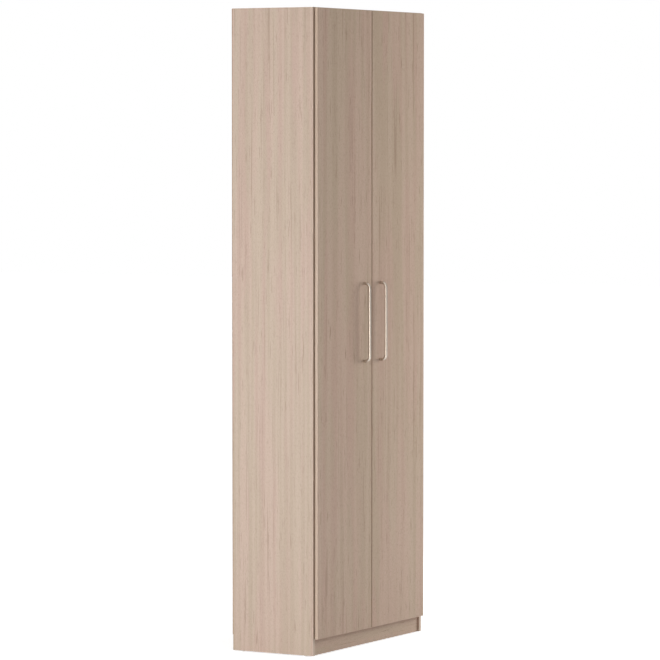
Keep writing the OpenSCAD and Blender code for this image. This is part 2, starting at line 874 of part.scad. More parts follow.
// Lower half of a bow handle, with the door's face at y = 0 and the middle of the grip at z = 0
module handle_half() {
    r = handle_d / 2;
    low = -handle_cc / 2;
    straight = handle_reach - handle_bend_r;
    difference() {
        union() {
            rod_y([0, -straight, low], r, straight);
            translate([0, -straight, low + handle_bend_r]) rotate([180, 90, 0])
                rotate_extrude(angle = 90) translate([handle_bend_r, 0]) circle(r = r);
            rod_z([0, -handle_reach, low + handle_bend_r], r, handle_cc / 2 - handle_bend_r);
        }
        rod_y([0, -handle_bore, low], machine_r + fit, handle_bore + past);
    }
}

module handle_left() {
    color(satin_steel) translate([handle_x, y_door_face, handle_z]) {
        handle_half();
        mirror([0, 0, 1]) handle_half();
    }
}

module handle_right() {
    mirror([1, 0, 0]) handle_left();
}

module handle_screws_left() {
    color(zinc) for (s = [-1, 1]) {
        translate([handle_x, y_door_back, handle_z + s * handle_cc / 2]) rotate([90, 0, 0])
            screw(machine_r, door_t + handle_bore - machine_short, machine_head);
    }
}

module handle_screws_right() {
    mirror([1, 0, 0]) handle_screws_left();
}

// Bumpers on the back of a door, opposite the front edges of the top and bottom panels
module bumpers_left() {
    bumper_t = door_gap - bumper_play;
    bevel = 0.6;
    r = bumper_d / 2;
    color(soft_rubber) for (z = bumper_zs) {
        translate([door_x1 - bumper_inset, y_door_back, z]) rotate([-90, 0, 0]) rotate_extrude()
            polygon([[0, 0], [r, 0], [r, bumper_t - bevel], [r - bevel, bumper_t], [0, bumper_t]]);
    }
}

module bumpers_right() {
    mirror([1, 0, 0]) bumpers_left();
}

side_left();
side_right();
top_panel();
bottom_panel();
plinth_front();
plinth_rear();
hat_shelf();
shoe_shelf();
carcass_edging();
back_upper();
back_lower();
back_joiner();
cam_locks();
cam_bolts();
dowels();
shelf_pins();
glides();
wall_brackets();
bracket_screws();
hanging_rail();
rail_brackets();
rail_caps();
rail_screws();
hinge_plates();
plate_screws();
hinge_arms();
arm_screws();
door_left();
door_right();
door_edging_left();
door_edging_right();
hinge_cups_left();
hinge_cups_right();
hinge_pins_left();
hinge_pins_right();
cup_screws_left();
cup_screws_right();
handle_left();
handle_right();
handle_screws_left();
handle_screws_right();
bumpers_left();
bumpers_right();
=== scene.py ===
# %% [markdown]
# A two-door hall wardrobe of ash-look melamine board, dressed for its picture.
# Its boards, hinges and screws could be modelled here again, but then every size would be written
# in two places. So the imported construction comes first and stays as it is, with each part at its
# place in metres. This script adds finishes, light, a camera and the small details that a maker's
# drawing leaves out.

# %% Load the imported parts
import math

import bmesh
import bpy
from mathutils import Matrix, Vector


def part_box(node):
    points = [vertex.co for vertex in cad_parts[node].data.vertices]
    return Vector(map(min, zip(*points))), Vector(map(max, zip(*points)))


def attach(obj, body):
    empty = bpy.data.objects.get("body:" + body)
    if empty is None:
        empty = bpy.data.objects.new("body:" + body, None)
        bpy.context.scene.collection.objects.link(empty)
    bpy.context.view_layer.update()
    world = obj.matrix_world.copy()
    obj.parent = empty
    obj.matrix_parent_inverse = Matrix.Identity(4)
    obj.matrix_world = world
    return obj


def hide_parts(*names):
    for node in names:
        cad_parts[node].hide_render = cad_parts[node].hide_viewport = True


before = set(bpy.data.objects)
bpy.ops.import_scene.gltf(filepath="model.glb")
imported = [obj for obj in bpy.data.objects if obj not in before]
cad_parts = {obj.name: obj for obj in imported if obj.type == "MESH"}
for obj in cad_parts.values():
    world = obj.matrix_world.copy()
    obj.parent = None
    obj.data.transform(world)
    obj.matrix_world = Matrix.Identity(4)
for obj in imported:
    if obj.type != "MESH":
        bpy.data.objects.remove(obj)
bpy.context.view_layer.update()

# %% [markdown]
# Shaders calculate in linear light, while colours are written in sRGB, so one function turns a
# hex colour into linear numbers. A node tree could be wired with a line for every setting and
# every link. Here one helper adds a node with all of them in a single call, which keeps the
# materials readable.

# %% Colour and node helpers
def linear(hex_colour):
    """Red, green, blue and alpha in linear light of an sRGB colour such as #808080."""
    channels = [int(hex_colour[i:i + 2], 16) / 255 for i in (1, 3, 5)]
    return [c / 12.92 if c <= 0.04045 else ((c + 0.055) / 1.055) ** 2.4 for c in channels] + [1.0]


def add(tree, kind, links=None, **settings):
    """Adds a node. links maps an input's name or number to a value or to another node's output."""
    made = tree.nodes.new(kind)
    for setting, value in settings.items():
        setattr(made, setting, value)
    for key, source in (links or {}).items():
        if isinstance(source, bpy.types.NodeSocket):
            tree.links.new(source, made.inputs[key])
        else:
            made.inputs[key].default_value = source
    return made


print("mid grey #808080 in linear light:", round(linear("#808080")[0], 3))

# %% [markdown]
# The photograph was taken from the left of the front, a little above the middle, with a long
# lens. A camera could be nudged by eye until the edges agree. Here its place, its two angles and
# its focal length were worked out from the picture's edges, so it is set from numbers.

# %% Camera
CAMERA_PLACE = (-11.9476, -6.8854, 1.8493)
DEGREES_DOWN = 2.9427
DEGREES_RIGHT = 59.989
FOCAL_LENGTH = 206.74

camera_data = bpy.data.cameras.new("camera")
camera_data.sensor_width = 36
camera_data.lens = FOCAL_LENGTH
camera_data.clip_start = 0.5
camera_data.clip_end = 100
camera = bpy.data.objects.new("camera", camera_data)
camera.location = CAMERA_PLACE
camera.rotation_euler = (math.radians(90 - DEGREES_DOWN), 0, math.radians(-DEGREES_RIGHT))
bpy.context.scene.collection.objects.link(camera)
bpy.context.scene.camera = camera
print("camera, metres:", [round(v, 3) for v in camera.location], "lens, mm:", camera_data.lens)

# %% [markdown]
# Every finish below starts from Blender's standard shader and feeds three of its sockets: a
# colour, a roughness and a relief. Those lines could be repeated in each material. Here two
# helpers keep them in one place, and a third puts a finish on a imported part. Nearly all the
# patterns read the object's own coordinates, which turn with a door, so that the grain doesn't
# slide when the door swings.

# %% Finish helpers
def new_finish(name):
    """A new material, with its node tree and its shader."""
    material = bpy.data.materials.new(name)
    material.use_nodes = True
    return material, material.node_tree, material.node_tree.nodes["Principled BSDF"]


def feed(tree, shader, colour, roughness, relief):
    """Links a colour, a roughness and a bumped normal to the shader."""
    for source, socket in ((colour, "Base Color"), (roughness, "Roughness"), (relief, "Normal")):
        tree.links.new(source, shader.inputs[socket])


def finish(node_name, material):
    """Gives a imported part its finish, in place of the plain one that it was packed with."""
    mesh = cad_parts[node_name].data
    mesh.materials.clear()
    mesh.materials.append(material)


print("helpers ready: new_finish, feed, finish")

# %% [markdown]
# The boards are chipboard faced with melamine paper, printed with a straight ash grain and pressed
# against a plate that gives a satin, faintly ribbed face. To the eye that is a beige ground that
# drifts between pinkish and greenish bands a few centimetres wide, with paler streaks, a few dark
# pinstripes, shorter dark dashes, and fine pores. A scanned board could be laid on as a picture.
# Noise stays sharp in a close view, so each of those marks is one noise texture, stretched along
# the grain by its real length and squeezed across it by its real width. They sit in one node
# group, so that every board shares the same print.

# %% Layers of the ash print, in a node group
# Width across the grain and length along it, in mm, and how much finer detail each layer has. The
# pores of real ash are about 0.3 mm wide; these are 0.5 mm, so that they show in a close view.
GRAIN_LAYERS = {
    "bands": (42, 700, 1),
    "streaks": (17, 1500, 0),
    "pinstripes": (5, 600, 1),
    "dashes": (3.2, 95, 1),
    "pores": (0.5, 9, 0),
}
# Cells of a slow noise per mm across the grain and along it, and how many mm its whole range
# moves the grain: a few millimetres to either side over half a metre
WANDER_CELLS = (0.02, 0.02, 0.0022)
WANDER_REACH = (9, 9, 0)
# Moves each layer's noise off the one before, in cells, so that their marks don't fall together
LAYER_SHIFT = (7.3, 3.1, 0)

ash_print = bpy.data.node_groups.new("ash_print", "ShaderNodeTree")
ash_print.interface.new_socket("Millimetres", in_out="INPUT", socket_type="NodeSocketVector")
ash_print.interface.new_socket("Colour", in_out="OUTPUT", socket_type="NodeSocketColor")
ash_print.interface.new_socket("Roughness", in_out="OUTPUT", socket_type="NodeSocketFloat")
ash_print.interface.new_socket("Height", in_out="OUTPUT", socket_type="NodeSocketFloat")
place = add(ash_print, "NodeGroupInput").outputs["Millimetres"]

wander = add(ash_print, "ShaderNodeMapping", {"Vector": place, "Scale": WANDER_CELLS})
wander = add(ash_print, "ShaderNodeTexNoise", {"Vector": wander.outputs[0], "Scale": 1, "Detail": 1})
wander = add(ash_print, "ShaderNodeVectorMath", {0: wander.outputs["Color"], 1: (0.5, 0.5, 0.5)},
             operation="SUBTRACT")
grain_place = add(ash_print, "ShaderNodeVectorMath", {
    0: wander.outputs[0], 1: WANDER_REACH, 2: place}, operation="MULTIPLY_ADD").outputs[0]

layer = {}
for number, (name, (width, length, detail)) in enumerate(GRAIN_LAYERS.items()):
    stretched = add(ash_print, "ShaderNodeMapping", {
        "Vector": grain_place, "Location": [number * shift for shift in LAYER_SHIFT],
        "Scale": (1 / width, 1 / width, 1 / length)})
    layer[name] = add(ash_print, "ShaderNodeTexNoise", {
        "Vector": stretched.outputs[0], "Scale": 1, "Detail": detail}).outputs[0]
print("layers of the print:", ", ".join(layer))

# %% [markdown]
# A noise is a landscape of soft hills, while a printed mark has an edge. A colour ramp could trim
# each layer by hand. Here a table does it: values under the lowest don't show, values over the
# highest show at the layer's full strength, and the rise between them is smooth.

# %% What shows of each layer
# Lowest value, highest value, strength
LAYER_SHOWS = {
    "bands": (0.40, 0.60, 1.0),
    "streaks": (0.36, 0.64, 0.40),
    "pinstripes": (0.64, 0.76, 0.50),
    "dashes": (0.67, 0.74, 0.62),
    "pores": (0.60, 0.72, 0.42),
}
share = {
    name: add(ash_print, "ShaderNodeMapRange", {
        "Value": layer[name], "From Min": low, "From Max": high, "To Max": strength},
        interpolation_type="SMOOTHSTEP").outputs[0]
    for name, (low, high, strength) in LAYER_SHOWS.items()}
print("layers that show:", len(share))

# %% [markdown]
# Decor paper is printed ink over ink, and the colours are mixed here in that way, each layer over
# the ones before. The face is pressed to match the print: streaks stand up, pinstripes and pores
# lie deeper, and a pore is also duller than the satin round it. Colour, gloss and height could
# each have a pattern, but those would drift apart, so all three come from the same layers.

# %% Colour, gloss and height of the print
ASH_PINK = "#bea290"
ASH_GREEN = "#b9a38d"
ASH_LIGHT = "#cab4a0"
ASH_DARK = "#937560"
ASH_PORE = "#8b7060"
SATIN_ROUGHNESS = 0.50
PORE_ROUGHNESS = 0.64

colour = add(ash_print, "ShaderNodeMix", {
    0: share["bands"], 6: linear(ASH_PINK), 7: linear(ASH_GREEN)}, data_type="RGBA").outputs[2]
for name, shade in (("streaks", ASH_LIGHT), ("pinstripes", ASH_DARK), ("dashes", ASH_DARK),
                    ("pores", ASH_PORE)):
    colour = add(ash_print, "ShaderNodeMix", {0: share[name], 6: colour, 7: linear(shade)},
                 data_type="RGBA").outputs[2]

deepest_pore = LAYER_SHOWS["pores"][2]
dull = add(ash_print, "ShaderNodeMapRange", {
    "Value": share["pores"], "From Max": deepest_pore,
    "To Min": SATIN_ROUGHNESS, "To Max": PORE_ROUGHNESS})
sunk = add(ash_print, "ShaderNodeMath", {0: share["pores"], 1: share["pinstripes"]}, operation="ADD")
raised = add(ash_print, "ShaderNodeMath", {0: share["streaks"], 1: sunk.outputs[0]},
             operation="SUBTRACT")
add(ash_print, "NodeGroupOutput", {
    "Colour": colour, "Roughness": dull.outputs[0], "Height": raised.outputs[0]})
print("ash print:", len(ash_print.nodes), "nodes")

# %% [markdown]
# On a real wardrobe each board is sawn from another place of the sheet, so no two boards carry
# the same streaks. The print is laid out in millimetres from the object's own coordinates,
# shifted for each board, and turned on its side for the level boards, whose grain runs from left
# to right. Each board could have a print of its own, but a shift is all that a saw makes.

# %% Melamine boards
# Where each board was sawn from the printed sheet, in mm, how wide its print is drawn, and
# whether its grain lies level. The doors are pressed with a broader version of the print.
BOARDS = {
    "side_left": ((140, 0, 300), 1.0, False),
    "side_right": ((900, 700, 0), 1.0, False),
    "door_left": ((310, 150, 800), 1.7, False),
    "door_right": ((2100, 420, 500), 1.7, False),
    "top_panel": ((0, 300, 80), 1.0, True),
    "bottom_panel": ((400, 900, 60), 1.0, True),
    "hat_shelf": ((700, 100, 40), 1.0, True),
    "shoe_shelf": ((1300, 500, 20), 1.0, True),
    "plinth_front": ((50, 1200, 90), 1.0, True),
    "plinth_rear": ((600, 1600, 70), 1.0, True),
}
RIB_HEIGHT = 0.00003
MELAMINE_SPECULAR = 0.3


def melamine_ash(board, shift, broad, level):
    """Satin melamine: a weak gloss of roughness 0.50, duller in the pores, over ribs of 0.03 mm."""
    material, tree, shader = new_finish("melamine_ash_" + board)
    object_place = add(tree, "ShaderNodeTexCoord").outputs["Object"]
    sawn = add(tree, "ShaderNodeMapping", {
        "Vector": object_place, "Location": shift,
        "Rotation": (0, math.radians(90), 0) if level else (0, 0, 0),
        "Scale": (1000 / broad, 1000 / broad, 1000)})
    grain = add(tree, "ShaderNodeGroup", node_tree=ash_print)
    tree.links.new(sawn.outputs[0], grain.inputs["Millimetres"])
    ribs = add(tree, "ShaderNodeBump", {
        "Height": grain.outputs["Height"], "Strength": 0.35, "Distance": RIB_HEIGHT})
    feed(tree, shader, grain.outputs["Colour"], grain.outputs["Roughness"], ribs.outputs[0])
    shader.inputs["Specular IOR Level"].default_value = MELAMINE_SPECULAR
    return material


for board, (shift, broad, level) in BOARDS.items():
    finish(board, melamine_ash(board, shift, broad, level))
print("melamine boards:", len(BOARDS))

# %% [markdown]
# Every sawn edge that shows is covered with a strip of ABS plastic, 1 mm thick, glued on by
# machine and printed like the faces. On the carcass the strips are painted a touch paler, as
# painted light: their front edges sit in the shade of the doors. The print runs along the strip:
# upwards on the sides and doors, and from left to right on the level boards and on the tops of the
# doors. Two materials could do that, but strips of both directions belong to one part, so one
# material does both, with a mask that picks the direction from the place on the object.

# %% ABS edging
# Cells of the printed lines' noise per metre along X, Y and Z, and a factor for all of them: a
# line is about 4 mm wide and half a metre long
UPRIGHT_LINES = (600, 600, 4)
LEVEL_LINES = (4, 600, 600)
LINE_SCALE = 0.45
GROOVE_DEPTH = 0.00002


def abs_edging(name, light, dark, axis, middle, reach, inside_level):
    """Extruded ABS strip, IOR 1.5. Within reach of middle along axis, in metres, the print lies
    level where inside_level is true and stands upright where it is not; beyond, the reverse."""
    material, tree, shader = new_finish(name)
    object_place = add(tree, "ShaderNodeTexCoord").outputs["Object"]
    parts = add(tree, "ShaderNodeSeparateXYZ", {0: object_place})
    within = add(tree, "ShaderNodeMath", {0: parts.outputs[axis], 1: middle, 2: reach},
                 operation="COMPARE")
    beyond, inside = (UPRIGHT_LINES, LEVEL_LINES) if inside_level else (LEVEL_LINES, UPRIGHT_LINES)
    fine = []
    for scale in (beyond, inside):
        stretched = add(tree, "ShaderNodeMapping", {"Vector": object_place, "Scale": scale})
        fine.append(add(tree, "ShaderNodeTexNoise", {
            "Vector": stretched.outputs[0], "Scale": LINE_SCALE, "Detail": 2}).outputs[0])
    line = add(tree, "ShaderNodeMix", {0: within.outputs[0], 2: fine[0], 3: fine[1]})
    line = add(tree, "ShaderNodeMapRange", {
        "Value": line.outputs[0], "From Min": 0.35, "From Max": 0.7}, interpolation_type="SMOOTHSTEP")
    colour = add(tree, "ShaderNodeMix", {
        0: line.outputs[0], 6: linear(light), 7: linear(dark)}, data_type="RGBA")
    dull = add(tree, "ShaderNodeMapRange", {"Value": line.outputs[0], "To Min": 0.36, "To Max": 0.46})
    grooves = add(tree, "ShaderNodeBump", {
        "Height": line.outputs[0], "Strength": 0.2, "Distance": GROOVE_DEPTH})
    feed(tree, shader, colour.outputs[2], dull.outputs[0], grooves.outputs[0])
    shader.inputs["IOR"].default_value = 1.5
    return material


print("printed lines, mm wide:", round(1000 / (UPRIGHT_LINES[0] * LINE_SCALE), 1))

# %% [markdown]
# The mask needs to know where the strips change direction. On the carcass the level strips lie
# between the two sides. On a door the upright strips end at the top and the bottom of its board.
# Both places could be typed in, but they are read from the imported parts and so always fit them.

# %% Edging on the carcass and the doors
# Leaves the sides' own strips, which begin at the same plane, out of the mask
STRIP_MARGIN = 0.00005
door_low, door_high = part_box("door_left")
side_low, side_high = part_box("side_left")
# The carcass strips' colours are painted paler than the doors' ones: painted light for the front
# edges of the sides, which sit in the doors' shade
carcass_strips_painted_paler = abs_edging(
    "abs_edging_carcass_painted_paler", "#d0bba8", "#c3ad99", "X", 0, -side_high.x - STRIP_MARGIN, True)
door_strips = abs_edging(
    "abs_edging_doors", "#c2a891", "#b59b84", "Z", (door_low.z + door_high.z) / 2,
    (door_high.z - door_low.z) / 2, False)
finish("carcass_edging", carcass_strips_painted_paler)
for side in ("left", "right"):
    finish("door_edging_" + side, door_strips)
print("door strips stand between", round(door_low.z, 4), "and", round(door_high.z, 4), "m")

# %% [markdown]
# The back is two sheets of hardboard, 3 mm thick. The face inside the wardrobe is lacquered pale,
# and the rest is left raw: brown pressed fibre with the mark of the press's wire screen. The two
# faces could have a material each, with the faces of the mesh sorted between them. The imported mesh
# stays as it is here, so one material switches just behind the lacquered face.

# %% Lacquered hardboard
LACQUER_DEPTH = 0.0004
# A real press's screen has about 1.2 mm from wire to wire, and is drawn coarser to show
SCREEN_PITCH = 0.0016
# Fibres and cloudy blotches per mm, and how much the blotches count against the fibres
FIBRE_CELLS = 0.9
BLOTCH_CELLS = 0.012
BLOTCH_SHARE = 0.4
FIBRE_RELIEF = 0.0001


def lacquered_hardboard():
    """Pressed wood fibre, half matt where it is lacquered towards the front and dull elsewhere."""
    material, tree, shader = new_finish("lacquered_hardboard")
    object_place = add(tree, "ShaderNodeTexCoord").outputs["Object"]
    parts = add(tree, "ShaderNodeSeparateXYZ", {0: object_place})
    front_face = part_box("back_lower")[0].y
    raw = add(tree, "ShaderNodeMath", {0: parts.outputs["Y"], 1: front_face + LACQUER_DEPTH},
              operation="GREATER_THAN").outputs[0]
    mm = add(tree, "ShaderNodeMapping", {"Vector": object_place, "Scale": (1000, 1000, 1000)})
    fibres = add(tree, "ShaderNodeTexNoise", {
        "Vector": mm.outputs[0], "Scale": FIBRE_CELLS, "Detail": 5, "Roughness": 0.65}).outputs[0]
    blotches = add(tree, "ShaderNodeTexNoise", {
        "Vector": mm.outputs[0], "Scale": BLOTCH_CELLS, "Detail": 3}).outputs[0]
    mixed = add(tree, "ShaderNodeMath", {0: blotches, 1: BLOTCH_SHARE, 2: fibres},
                operation="MULTIPLY_ADD").outputs[0]
    speckle = add(tree, "ShaderNodeMapRange", {
        "Value": mixed, "From Min": 0.5, "From Max": 0.9}).outputs[0]
    brown = add(tree, "ShaderNodeMix", {
        0: speckle, 6: linear("#7c5a3e"), 7: linear("#a07c5a")}, data_type="RGBA").outputs[2]
    lacquer = add(tree, "ShaderNodeMix", {
        0: speckle, 6: linear("#d3ccbf"), 7: linear("#dcd6ca")}, data_type="RGBA").outputs[2]
    colour = add(tree, "ShaderNodeMix", {0: raw, 6: lacquer, 7: brown}, data_type="RGBA").outputs[2]
    wires = []
    for axis in ("X", "Z"):
        phase = add(tree, "ShaderNodeMath", {0: parts.outputs[axis], 1: 2 * math.pi / SCREEN_PITCH},
                    operation="MULTIPLY").outputs[0]
        wires.append(add(tree, "ShaderNodeMath", {0: phase}, operation="SINE").outputs[0])
    screen = add(tree, "ShaderNodeMath", {0: wires[0], 1: wires[1]}, operation="MULTIPLY").outputs[0]
    screen = add(tree, "ShaderNodeMath", {0: screen, 1: raw}, operation="MULTIPLY").outputs[0]
    relief = add(tree, "ShaderNodeMath", {0: screen, 1: fibres}, operation="ADD").outputs[0]
    dull = add(tree, "ShaderNodeMapRange", {"Value": raw, "To Min": 0.40, "To Max": 0.78}).outputs[0]
    bump = add(tree, "ShaderNodeBump", {
        "Height": relief, "Strength": 0.35, "Distance": FIBRE_RELIEF})
    feed(tree, shader, colour, dull, bump.outputs[0])
    return material


hardboard = lacquered_hardboard()
for sheet in ("back_upper", "back_lower"):
    finish(sheet, hardboard)

# %% [markdown]
# Three steels are used. Screws, nails, cams, angles and the pins of the hinges are zinc plated
# and passivated: a cool grey, cloudy and slightly dull. The rest of the hinges, the shelf pins and
# the rail brackets have bright nickel over the steel, warmer and glossier, with faint marks from
# the tumbling drum. The handles and the hanging rail are brushed steel and come next. Each plating
# could be a material of its own, but they differ in numbers alone, so one function makes both.

# %% Plated steels
# Colour in the clouds, colour between them, lowest and highest roughness, size of the clouds in mm
PLATINGS = {
    "zinc_plated_steel": ("#a9adb2", "#8f9499", 0.26, 0.44, 5),
    "nickel_plated_steel": ("#cbc8c2", "#b9b5ae", 0.13, 0.27, 9),
}
ZINC_PARTS = ["cam_locks", "cam_bolts", "wall_brackets", "hinge_pins_left", "hinge_pins_right"]
NICKEL_PARTS = ["shelf_pins", "rail_brackets", "hinge_plates", "hinge_arms", "hinge_cups_left",
                "hinge_cups_right"]
# Marks of the drum per mm, and their depth in metres
MARK_CELLS = 1.8
MARK_DEPTH = 0.00002


def plated_steel(name):
    """Electroplated steel: a metal, so its colour is the colour of its reflections."""
    cloud_colour, ground_colour, smooth, rough, cloud_size = PLATINGS[name]
    material, tree, shader = new_finish(name)
    shader.inputs["Metallic"].default_value = 1
    object_place = add(tree, "ShaderNodeTexCoord").outputs["Object"]
    mm = add(tree, "ShaderNodeMapping", {"Vector": object_place, "Scale": (1000, 1000, 1000)})
    clouds = add(tree, "ShaderNodeTexNoise", {
        "Vector": mm.outputs[0], "Scale": 1 / cloud_size, "Detail": 4}).outputs[0]
    marks = add(tree, "ShaderNodeTexNoise", {
        "Vector": mm.outputs[0], "Scale": MARK_CELLS, "Detail": 2, "Distortion": 1.5}).outputs[0]
    shade = add(tree, "ShaderNodeMapRange", {
        "Value": clouds, "From Min": 0.35, "From Max": 0.65}).outputs[0]
    colour = add(tree, "ShaderNodeMix", {
        0: shade, 6: linear(cloud_colour), 7: linear(ground_colour)}, data_type="RGBA").outputs[2]
    dull = add(tree, "ShaderNodeMapRange", {
        "Value": marks, "From Min": 0.35, "From Max": 0.7, "To Min": smooth, "To Max": rough})
    bump = add(tree, "ShaderNodeBump", {"Height": marks, "Strength": 0.15, "Distance": MARK_DEPTH})
    feed(tree, shader, colour, dull.outputs[0], bump.outputs[0])
    return material


zinc = plated_steel("zinc_plated_steel")
nickel = plated_steel("nickel_plated_steel")
for part in ZINC_PARTS:
    finish(part, zinc)
for part in NICKEL_PARTS:
    finish(part, nickel)
print("zinc parts:", len(ZINC_PARTS), "nickel parts:", len(NICKEL_PARTS))

# %% [markdown]
# Brushed steel gets its look from scratches that all run one way. An anisotropic shader could
# stretch the highlight for them. Here they are a noise, a fraction of a millimetre across and a
# centimetre or so long, that changes roughness and height, because that also shows as lines in a
# close view. On the straight rail the object's coordinates are enough. On a bent handle the lines
# must follow the rod, so there they read coordinates that the handle's own mesh carries.

# %% Brushed steel
# Real scratches are about 0.05 mm apart; 0.4 mm is as fine as a close view can show
SCRATCHES_PER_MM = 2.5
# Scale along the rod against the scale across it, which draws the scratches out
SCRATCH_STRETCH = 0.03
SCRATCH_DEPTH = 0.00002


def satin_steel(name, along_rod):
    """Drawn steel rod or tube, brushed along its length with fine grit, then left uncoated."""
    material, tree, shader = new_finish(name)
    shader.inputs["Metallic"].default_value = 1
    if along_rod:
        place = add(tree, "ShaderNodeAttribute", attribute_name="rod").outputs["Vector"]
        stretch = (1, 1, SCRATCH_STRETCH)
    else:
        place = add(tree, "ShaderNodeTexCoord").outputs["Object"]
        stretch = (1, SCRATCH_STRETCH, 1)
    mm = add(tree, "ShaderNodeMapping", {"Vector": place, "Scale": [s * 1000 for s in stretch]})
    lines = add(tree, "ShaderNodeTexNoise", {
        "Vector": mm.outputs[0], "Scale": SCRATCHES_PER_MM, "Detail": 3, "Roughness": 0.6}).outputs[0]
    colour = add(tree, "ShaderNodeMix", {
        0: lines, 6: linear("#bbb0a4"), 7: linear("#cbc1b5")}, data_type="RGBA").outputs[2]
    dull = add(tree, "ShaderNodeMapRange", {
        "Value": lines, "From Min": 0.3, "From Max": 0.7, "To Min": 0.23, "To Max": 0.33})
    bump = add(tree, "ShaderNodeBump", {"Height": lines, "Strength": 0.08, "Distance": SCRATCH_DEPTH})
    feed(tree, shader, colour, dull.outputs[0], bump.outputs[0])
    return material


rail_steel = satin_steel("satin_steel_rail", False)
handle_steel = satin_steel("satin_steel_handle", True)
finish("hanging_rail", rail_steel)
print("brushed steels:", rail_steel.name, "and", handle_steel.name)

# %% [markdown]
# The glides, the caps of the rail and the strip between the back sheets are white polypropylene,
# and the bumpers are clear and soft. A flat colour would do at their size, but it looks like paper
# in a close view. Moulded surfaces have a slight orange peel, so one noise shades and dents both.
# The bumpers let light through, which is why their shader transmits most of it.

# %% White plastic and clear rubber
# Dents per metre, and their depth in metres
PEEL_CELLS = 900
PEEL_DEPTH = 0.00005
CLEARNESS = 0.7


def moulded(name, light, dark, smooth, rough, transmission=0.0):
    """Moulded plastic or rubber with a faint orange peel of about 1 mm."""
    material, tree, shader = new_finish(name)
    shader.inputs["Transmission Weight"].default_value = transmission
    object_place = add(tree, "ShaderNodeTexCoord").outputs["Object"]
    peel = add(tree, "ShaderNodeTexNoise", {
        "Vector": object_place, "Scale": PEEL_CELLS, "Detail": 2}).outputs[0]
    colour = add(tree, "ShaderNodeMix", {0: peel, 6: linear(light), 7: linear(dark)},
                 data_type="RGBA").outputs[2]
    dull = add(tree, "ShaderNodeMapRange", {"Value": peel, "To Min": smooth, "To Max": rough})
    bump = add(tree, "ShaderNodeBump", {"Height": peel, "Strength": 0.1, "Distance": PEEL_DEPTH})
    feed(tree, shader, colour, dull.outputs[0], bump.outputs[0])
    return material


white_plastic = moulded("white_polypropylene", "#f0efeb", "#e4e2dc", 0.32, 0.50)
for part in ("back_joiner", "glides", "rail_caps"):
    finish(part, white_plastic)
clear_rubber = moulded("clear_rubber", "#eef0ee", "#dfe2df", 0.30, 0.45, transmission=CLEARNESS)
for side in ("left", "right"):
    finish("bumpers_" + side, clear_rubber)
print("share of the light that the bumpers let through:", CLEARNESS)

# %% [markdown]
# The dowels are turned beech, left unfinished. A wood with bold rings, such as pine, could be
# drawn with a wave texture. Beech shows only short dark flecks along the wood, so one stretched
# noise is enough.

# %% Beech dowels
# Flecks per metre along X, Y and Z: each is some 5 mm long and 0.6 mm wide
FLECK_CELLS = (220, 1600, 1600)
FLECK_DEPTH = 0.0001


def turned_beech():
    """Beech turned into dowels: pale orange-brown with short dark flecks along X, unfinished."""
    material, tree, shader = new_finish("beech")
    object_place = add(tree, "ShaderNodeTexCoord").outputs["Object"]
    along = add(tree, "ShaderNodeMapping", {"Vector": object_place, "Scale": FLECK_CELLS})
    flecks = add(tree, "ShaderNodeTexNoise", {
        "Vector": along.outputs[0], "Scale": 1, "Detail": 3}).outputs[0]
    colour = add(tree, "ShaderNodeMix", {0: flecks, 6: linear("#e0c39c"), 7: linear("#b98f64")},
                 data_type="RGBA").outputs[2]
    dull = add(tree, "ShaderNodeMapRange", {"Value": flecks, "To Min": 0.55, "To Max": 0.75})
    bump = add(tree, "ShaderNodeBump", {"Height": flecks, "Strength": 0.2, "Distance": FLECK_DEPTH})
    feed(tree, shader, colour, dull.outputs[0], bump.outputs[0])
    return material


finish("dowels", turned_beech())
print("materials so far, with the plain packed ones:", len(bpy.data.materials))

# %% [markdown]
# Geometry Nodes build what follows a path or repeats. A tree is run on a small mesh of points or
# edges, its result is copied into a plain mesh, and the helper object goes. The modifier could
# stay on the piece, but a plain mesh rides on its body like any other part.

# %% Run a tree and keep its mesh
def grown(name, seed_mesh, tree, sizes):
    """Runs a Geometry Nodes tree on seed_mesh with named sizes, and returns a plain object."""
    carrier = bpy.data.objects.new(name + "_carrier", seed_mesh)
    bpy.context.scene.collection.objects.link(carrier)
    modifier = carrier.modifiers.new("grow", "NODES")
    modifier.node_group = tree
    for item in tree.interface.items_tree:
        if item.in_out == "INPUT" and item.name in sizes:
            modifier[item.identifier] = sizes[item.name]
    graph = bpy.context.evaluated_depsgraph_get()
    mesh = bpy.data.meshes.new_from_object(carrier.evaluated_get(graph), depsgraph=graph)
    carrier.modifiers.remove(modifier)
    bpy.data.objects.remove(carrier)
    mesh.name = name
    piece = bpy.data.objects.new(name, mesh)
    bpy.context.scene.collection.objects.link(piece)
    print(name, "has", len(mesh.polygons), "faces")
    return piece


def path_mesh(name, lines):
    """A mesh of edges only, through each list of points."""
    mesh = bpy.data.meshes.new(name)
    points, edges = [], []
    for line in lines:
        edges += [(len(points) + i, len(points) + i + 1) for i in range(len(line) - 1)]
        points += line
    mesh.from_pydata(points, edges, [])
    return mesh


def tree_with(name, inputs):
    """A new Geometry Nodes tree with named inputs, and its group input node."""
    tree = bpy.data.node_groups.new(name, "GeometryNodeTree")
    tree.interface.new_socket("Geometry", in_out="INPUT", socket_type="NodeSocketGeometry")
    for label, kind in inputs.items():
        tree.interface.new_socket(label, in_out="INPUT", socket_type="NodeSocket" + kind)
    tree.interface.new_socket("Geometry", in_out="OUTPUT", socket_type="NodeSocketGeometry")
    return tree, add(tree, "NodeGroupInput").outputs


def soften(tree, geometry, sharpest):
    """Shades a mesh smooth, except at edges that turn by sharpest degrees or more."""
    angle = add(tree, "GeometryNodeInputMeshEdgeAngle")
    gentle = add(tree, "FunctionNodeCompare", {0: angle.outputs[0], 1: math.radians(sharpest)},
                 data_type="FLOAT", operation="LESS_THAN")
    return add(tree, "GeometryNodeSetShadeSmooth", {
        "Geometry": geometry, "Shade Smooth": gentle.outputs[0]}, domain="EDGE").outputs[0]


print("helpers ready: grown, path_mesh, tree_with, soften")

